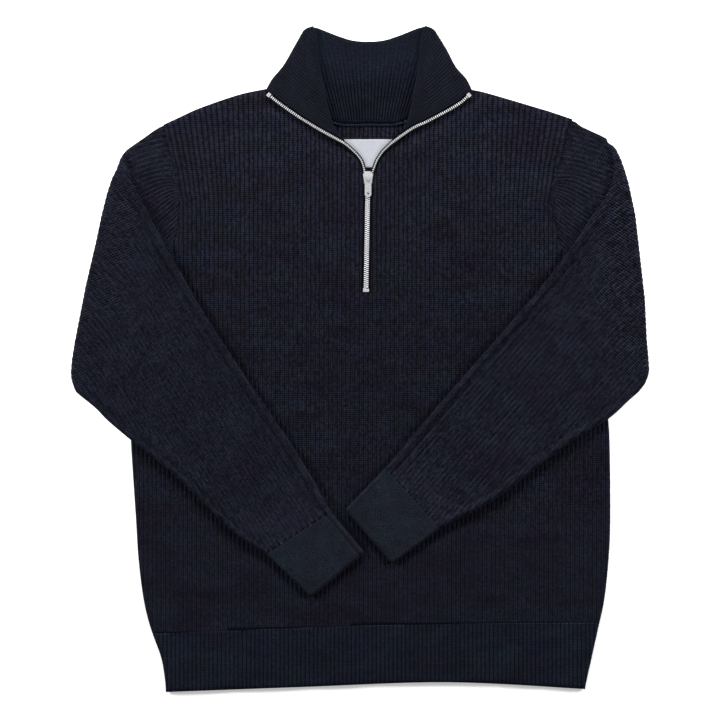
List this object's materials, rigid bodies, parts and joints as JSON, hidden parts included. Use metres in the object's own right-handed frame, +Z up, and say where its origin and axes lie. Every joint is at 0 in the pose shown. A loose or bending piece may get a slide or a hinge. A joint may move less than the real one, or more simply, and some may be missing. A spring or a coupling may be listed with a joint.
{
  "type": "quarter zip sweater",
  "caption": "Dark navy rib-knit quarter zip sweater with a funnel collar turned open, laid flat on its back with both sleeves folded over the front.",
  "frame": {"origin": "on the surface that the sweater lies on, under the middle of its laid outline", "axes": "+Z up from the surface, +Y from the hem towards the collar, +X towards the side on the right in the picture (the wearer's left)"},
  "size_m": [0.6834, 0.78, 0.0141],
  "materials": {
    "rib_knit": "matt navy rib knit, yarn about 1 mm thick",
    "hem_knit": "matt navy rib knit, finer ribs",
    "cuff_knit": "matt navy fine rib knit, nearly smooth",
    "zip_tape": "matt dark woven tape",
    "zip_metal": "bright silver metal teeth and stops",
    "slider_metal": "bright silver slider and pull tab",
    "label": "white woven label, bare"
  },
  "bodies": {
    "garment": {"back_panel": "rib_knit", "front_panel": "rib_knit", "hem_band_back": "hem_knit", "hem_band_front": "hem_knit", "collar_back": "rib_knit", "neck_seam_ridge": "rib_knit", "neck_label": "label", "sleeve_left": "rib_knit", "cuff_left": "cuff_knit", "collar_wing_left": "rib_knit", "zip_tape_left": "zip_tape", "zip_row_left": "zip_metal", "zip_stop_top_left": "zip_metal", "sleeve_right": "rib_knit", "cuff_right": "cuff_knit", "collar_wing_right": "rib_knit", "zip_tape_right": "zip_tape", "zip_row_right": "zip_metal", "zip_stop_top_right": "zip_metal", "zip_chain": "zip_metal", "zip_stop_bottom": "zip_metal", "zip_slider": "slider_metal"},
    "pull_tab": {"zip_pull_tab": "slider_metal"}
  },
  "joints": [
    {"name": "pull_tab_hinge", "type": "hinge", "parent": "garment", "child": "pull_tab", "pos_m": [0.00929, 0.212, 0.0097], "axis": [-1, 0, 0], "range_deg": [0, 165]}
  ]
}
